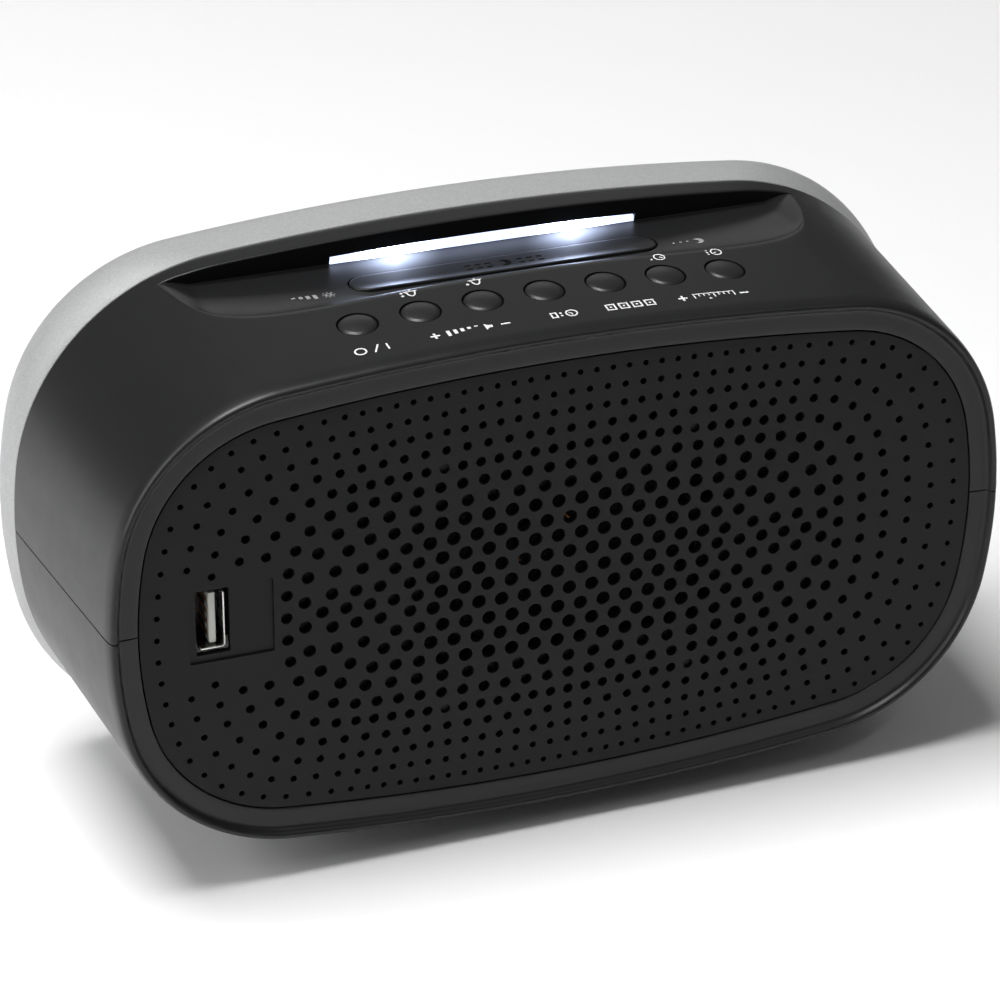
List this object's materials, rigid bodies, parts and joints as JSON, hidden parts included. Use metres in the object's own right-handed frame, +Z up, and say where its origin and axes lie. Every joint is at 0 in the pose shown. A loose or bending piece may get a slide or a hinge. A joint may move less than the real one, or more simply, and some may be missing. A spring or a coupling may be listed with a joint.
{
  "type": "tabletop clock radio",
  "caption": "Cushion-shaped tabletop clock radio with a silver front bezel, a perforated rear grille, round top buttons, a snooze bar, a glowing light bar and a USB socket.",
  "frame": {"origin": "on the table under the middle of the radio's overall box", "axes": "+Z up, the display faces -Y, the speaker grille faces +Y, +X to the right seen from the display side"},
  "size_m": [0.2074, 0.0722, 0.121],
  "materials": {
    "cabinet_black": "satin black moulded plastic",
    "grille_black": "fine matt black moulded plastic",
    "key_black": "satin black moulded plastic",
    "silver_paint": "silver metallic paint with fine flake",
    "window_smoke": "polished smoked acrylic",
    "diffuser": "milky light guide, lit",
    "rubber": "soft black rubber",
    "plated": "nickel-plated sheet",
    "steel": "zinc-plated steel",
    "board": "green solder mask",
    "ferrite": "dark ferrite",
    "cone_paper": "pressed black paper pulp",
    "spider_cloth": "resin-dipped woven cloth",
    "copper": "enamelled copper winding",
    "white_plastic": "white nylon",
    "display_face": "black display face with lit numerals",
    "inlet_black": "black moulded plastic"
  },
  "bodies": {
    "cabinet": {"upper_shell": "cabinet_black", "lower_shell": "cabinet_black", "rubber_foot_1": "rubber", "rubber_foot_2": "rubber", "rubber_foot_3": "rubber", "rubber_foot_4": "rubber", "front_bezel": "silver_paint", "front_window": "window_smoke", "rear_grille": "grille_black", "usb_shell": "plated", "usb_tongue": "white_plastic", "usb_board": "board", "light_bar": "diffuser", "light_board": "board", "button_board": "board", "board_screw_1": "steel", "board_screw_2": "steel", "main_board": "board", "tuner_shield": "plated", "power_inlet": "inlet_black", "inlet_board": "board", "battery_bridge": "plated", "battery_contact_plus": "plated", "battery_contact_minus": "plated", "display_module": "display_face", "display_board": "board", "speaker_gasket": "rubber", "speaker_frame": "steel", "speaker_screw_1": "steel", "speaker_screw_2": "steel", "speaker_screw_3": "steel", "speaker_screw_4": "steel", "speaker_magnet": "ferrite", "speaker_surround": "rubber", "speaker_spider": "spider_cloth", "case_screw_1": "steel", "case_screw_2": "steel", "case_screw_3": "steel", "case_screw_4": "steel"},
    "tuning_down_key": {"tuning_down_button": "key_black"},
    "tuning_up_key": {"tuning_up_button": "key_black"},
    "preset_key": {"preset_button": "key_black"},
    "time_key": {"time_button": "key_black"},
    "volume_down_key": {"volume_down_button": "key_black"},
    "volume_up_key": {"volume_up_button": "key_black"},
    "power_key": {"power_button": "key_black"},
    "snooze_key": {"snooze_bar": "key_black"},
    "door": {"battery_door": "cabinet_black"},
    "cone": {"speaker_cone": "cone_paper", "dust_cap": "cone_paper", "voice_coil": "copper"}
  },
  "joints": [
    {"name": "tuning_down_press", "type": "slide", "parent": "cabinet", "child": "tuning_down_key", "axis": [0, 0, -1], "range_m": [0, 0.0007], "stiffness_N_per_m": 1200, "springref_m": -0.0003},
    {"name": "tuning_up_press", "type": "slide", "parent": "cabinet", "child": "tuning_up_key", "axis": [0, 0, -1], "range_m": [0, 0.0007], "stiffness_N_per_m": 1200, "springref_m": -0.0003},
    {"name": "preset_press", "type": "slide", "parent": "cabinet", "child": "preset_key", "axis": [0, 0, -1], "range_m": [0, 0.0007], "stiffness_N_per_m": 1200, "springref_m": -0.0003},
    {"name": "time_press", "type": "slide", "parent": "cabinet", "child": "time_key", "axis": [0, 0, -1], "range_m": [0, 0.0007], "stiffness_N_per_m": 1200, "springref_m": -0.0003},
    {"name": "volume_down_press", "type": "slide", "parent": "cabinet", "child": "volume_down_key", "axis": [0, 0, -1], "range_m": [0, 0.0007], "stiffness_N_per_m": 1200, "springref_m": -0.0003},
    {"name": "volume_up_press", "type": "slide", "parent": "cabinet", "child": "volume_up_key", "axis": [0, 0, -1], "range_m": [0, 0.0007], "stiffness_N_per_m": 1200, "springref_m": -0.0003},
    {"name": "power_press", "type": "slide", "parent": "cabinet", "child": "power_key", "axis": [0, 0, -1], "range_m": [0, 0.0007], "stiffness_N_per_m": 1200, "springref_m": -0.0003},
    {"name": "snooze_press", "type": "slide", "parent": "cabinet", "child": "snooze_key", "axis": [0, 0, -1], "range_m": [0, 0.001], "stiffness_N_per_m": 1200, "springref_m": -0.0005},
    {"name": "battery_door_lift_off", "type": "slide", "parent": "cabinet", "child": "door", "axis": [0, 0, -1], "range_m": [0, 0.015]},
    {"name": "cone_travel", "type": "slide", "parent": "cabinet", "child": "cone", "axis": [0, 1, 0], "range_m": [-0.001, 0.001], "stiffness_N_per_m": 900}
  ]
}
